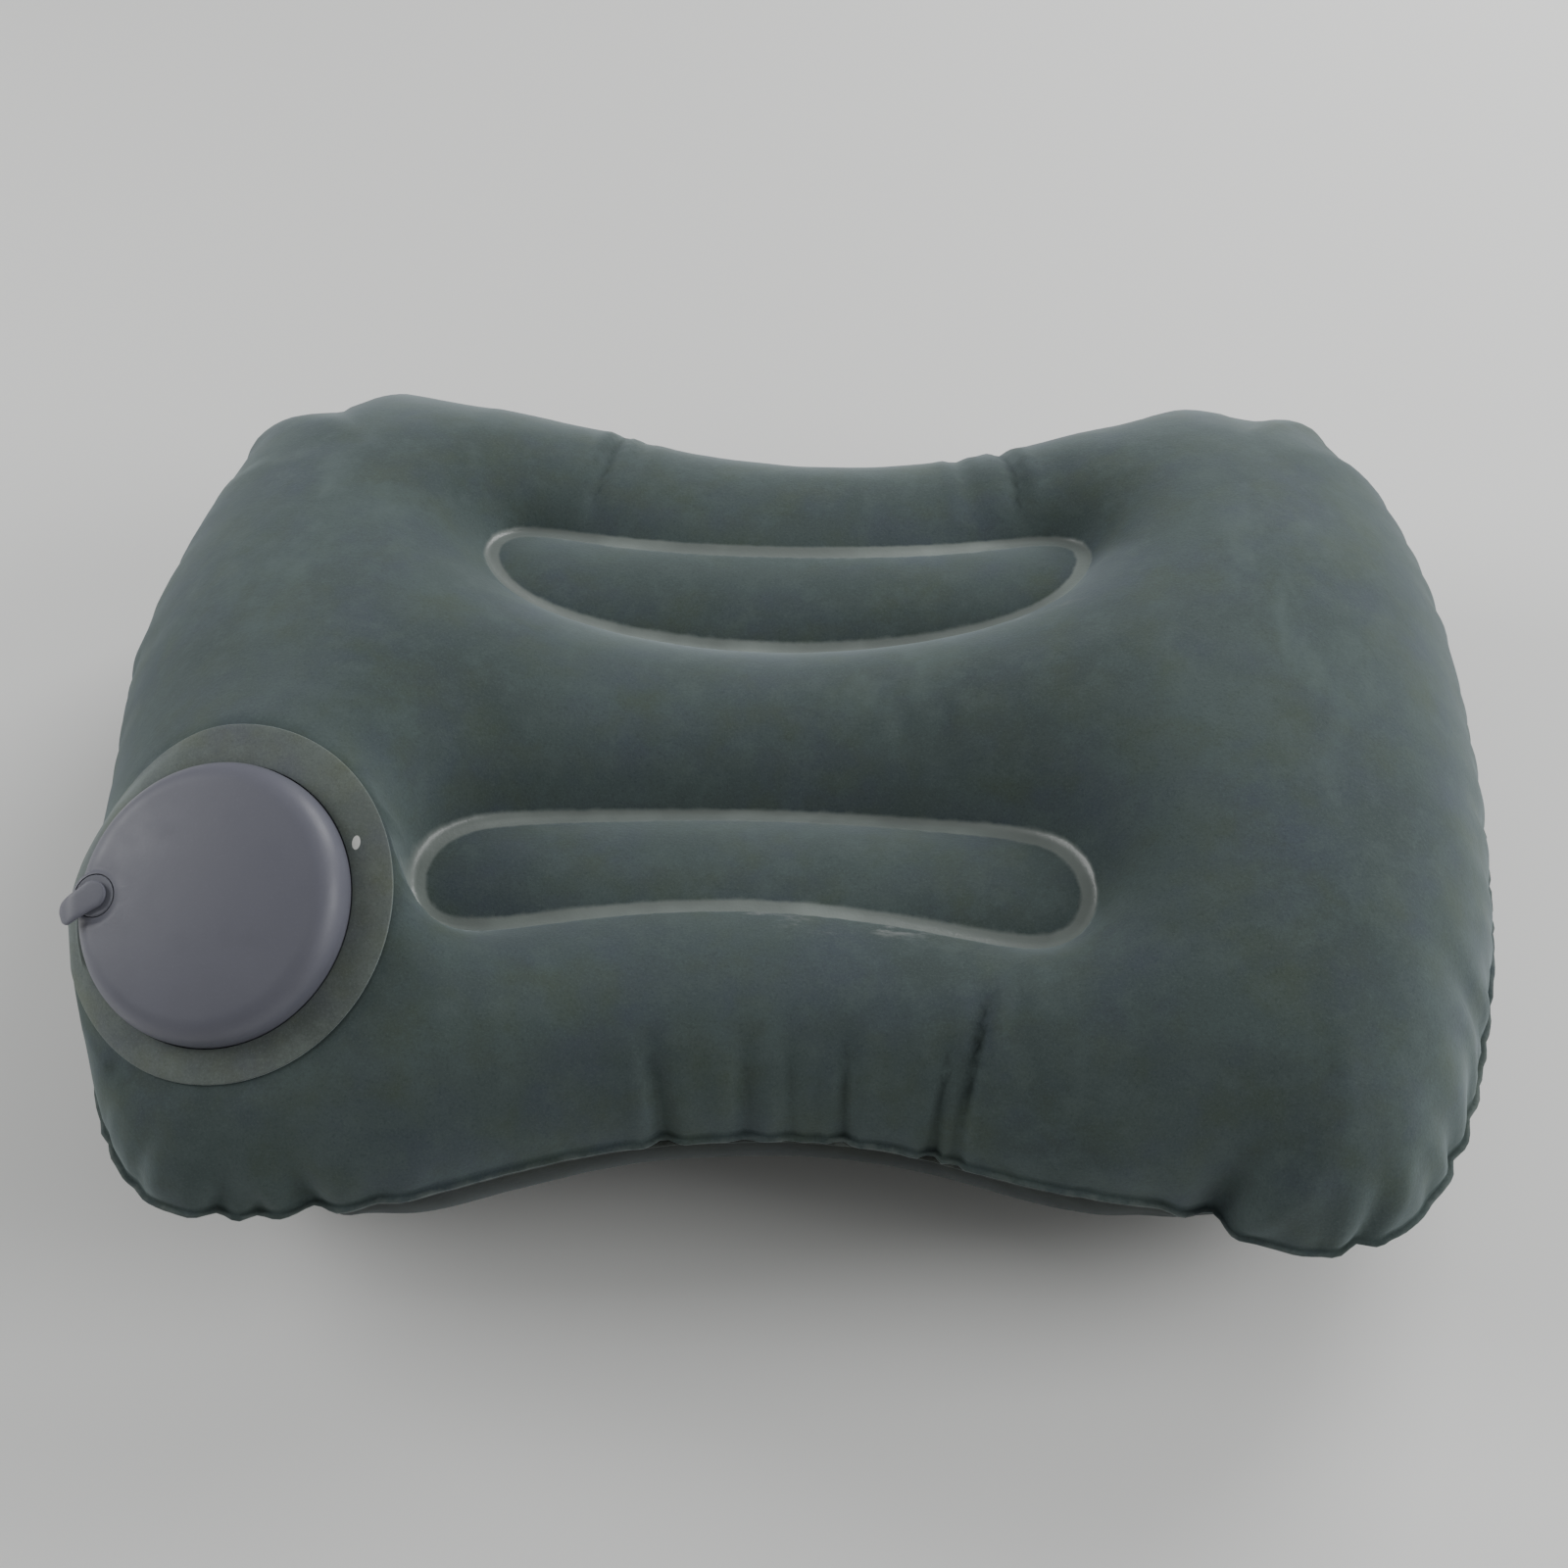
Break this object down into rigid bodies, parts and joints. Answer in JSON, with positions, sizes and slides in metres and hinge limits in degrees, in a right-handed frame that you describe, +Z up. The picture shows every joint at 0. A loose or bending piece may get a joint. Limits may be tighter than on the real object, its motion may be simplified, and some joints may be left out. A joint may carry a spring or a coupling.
{
  "type": "inflatable camp pillow",
  "caption": "Air-filled camping pillow with a waisted outline, crescent tie welds, a built-in press pump in one corner and a flip-cap release valve underneath.",
  "frame": {"origin": "on the surface the pillow lies on, under the middle of its outline", "axes": "+X along its length, with the pump at the -X end; +Y across it, away from the pump's long edge; +Z up"},
  "size_m": [0.463, 0.3426, 0.1444],
  "materials": {
    "flocked_film": "short flock on vinyl film",
    "collar_film": "thin flock, lighter",
    "web_film": "plain vinyl film",
    "pump_moulding": "matte",
    "bulb_vinyl": "matte soft vinyl",
    "plug_vinyl": "matte soft vinyl",
    "valve_moulding": "satin",
    "flap_rubber": "soft rubber",
    "foam": "open-cell foam"
  },
  "bodies": {
    "pillow": {"top_panel": "flocked_film", "bottom_panel": "flocked_film", "rear_tie_band": "web_film", "front_tie_band": "web_film", "pump_collar": "collar_film", "pump_cup": "pump_moulding", "pump_foam": "foam", "outlet_valve_seat": "valve_moulding", "release_valve_body": "valve_moulding"},
    "pump_bulb": {"pump_bulb": "bulb_vinyl", "intake_valve_seat": "valve_moulding"},
    "intake_plug": {"intake_plug": "plug_vinyl"},
    "intake_flap": {"intake_valve_flap": "flap_rubber"},
    "outlet_flap": {"outlet_valve_flap": "flap_rubber"},
    "release_cap": {"release_valve_cap": "valve_moulding"}
  },
  "joints": [
    {"name": "pump_press", "type": "slide", "parent": "pillow", "child": "pump_bulb", "axis": [0.1662, 0.4549, -0.8749], "range_m": [0, 0.0115], "stiffness_N_per_m": 1500, "springref_m": -0.002, "deforming": ["pump_foam"]},
    {"name": "intake_plug_pull", "type": "slide", "parent": "pump_bulb", "child": "intake_plug", "axis": [-0.1662, -0.4549, 0.8749], "range_m": [0, 0.012]},
    {"name": "intake_flap_lift", "type": "slide", "parent": "pump_bulb", "child": "intake_flap", "axis": [0.1662, 0.4549, -0.8749], "range_m": [0, 0.0008], "stiffness_N_per_m": 20},
    {"name": "outlet_flap_lift", "type": "slide", "parent": "pillow", "child": "outlet_flap", "axis": [0.1662, 0.4549, -0.8749], "range_m": [0, 0.0014], "stiffness_N_per_m": 30},
    {"name": "release_cap_hinge", "type": "hinge", "parent": "pillow", "child": "release_cap", "pos_m": [-0.1141, 0.1432, 0.02477], "axis": [0, -0.7544, -0.6564], "range_deg": [0, 135]}
  ]
}
